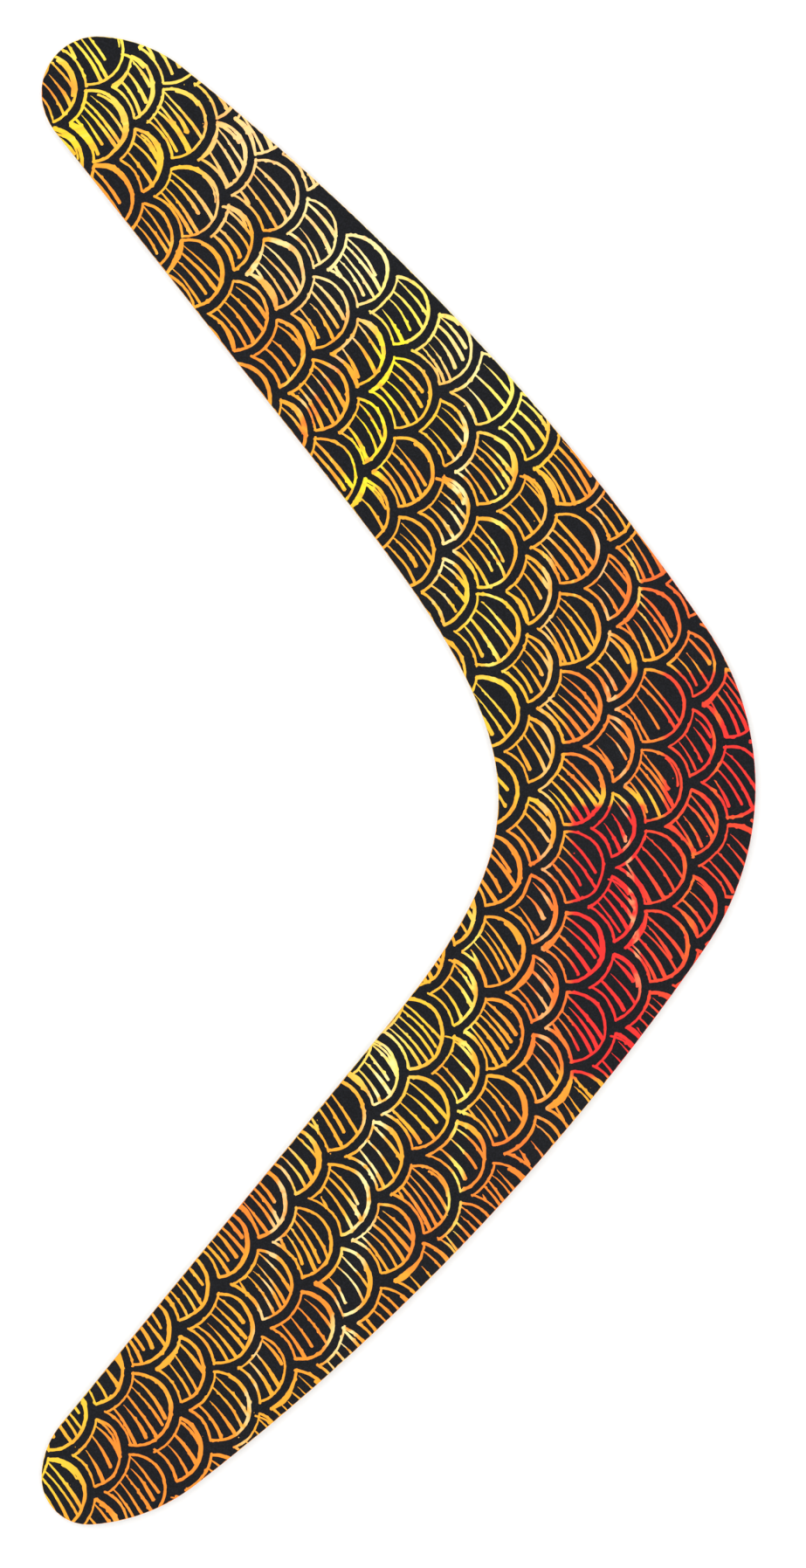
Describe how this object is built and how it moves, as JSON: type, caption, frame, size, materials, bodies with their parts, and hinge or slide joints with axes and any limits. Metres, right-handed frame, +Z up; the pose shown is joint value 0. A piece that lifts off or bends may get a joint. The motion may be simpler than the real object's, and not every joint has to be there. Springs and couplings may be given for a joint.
{
  "type": "boomerang",
  "caption": "Flat V-shaped throwing blade, die-cut from laminated greyboard with a rainbow foil face under a black scratch-off coating.",
  "frame": {"origin": "middle of the back face's bounding box, in the plane the blade lies on", "axes": "+Z up through the layers to the scratched front face, +Y along the span to the upper tip, +X from the open side of the V to the elbow"},
  "size_m": [0.144, 0.3, 0.002],
  "materials": {
    "back_paper": "matte",
    "greyboard": "matte",
    "front_paper": "matte",
    "rainbow_foil": "gloss",
    "clear_varnish": "gloss",
    "black_coating": "matte"
  },
  "bodies": {
    "root": {"back_liner": "back_paper", "core_lower_ply": "greyboard", "core_middle_ply": "greyboard", "core_upper_ply": "greyboard", "front_liner": "front_paper", "rainbow_foil": "rainbow_foil", "release_varnish": "clear_varnish", "scratch_coating": "black_coating"}
  },
  "joints": []
}
